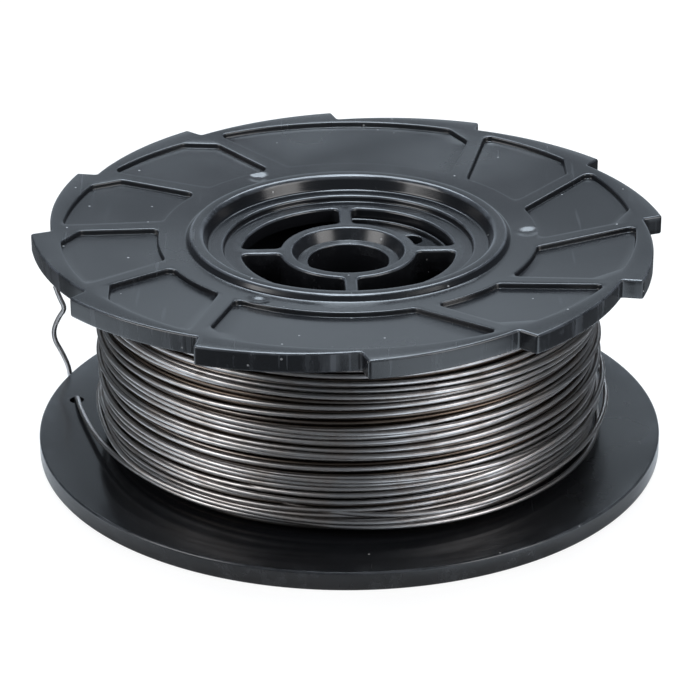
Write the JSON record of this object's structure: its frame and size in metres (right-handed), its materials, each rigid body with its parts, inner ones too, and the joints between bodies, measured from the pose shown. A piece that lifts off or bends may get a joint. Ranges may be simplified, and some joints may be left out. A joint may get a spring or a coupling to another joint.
{
  "type": "binding wire reel",
  "caption": "Soft steel binding wire wound on a one-piece black plastic reel with a toothed ratchet flange, hub bore and a free wire end threaded through the lower flange.",
  "frame": {"origin": "centre of the lower flange's standing face, on the reel's axis", "axes": "+Z along the reel's axis towards the toothed flange; the wire's free end rises outside the rim on the -X side"},
  "size_m": [0.0966, 0.0966, 0.0361],
  "materials": {
    "reel_plastic": "moulded black plastic with a satin sheen",
    "wire_steel": "annealed grey-brown steel wire"
  },
  "bodies": {
    "root": {"reel": "reel_plastic", "wire_coil": "wire_steel", "wire_end": "wire_steel"}
  },
  "joints": []
}
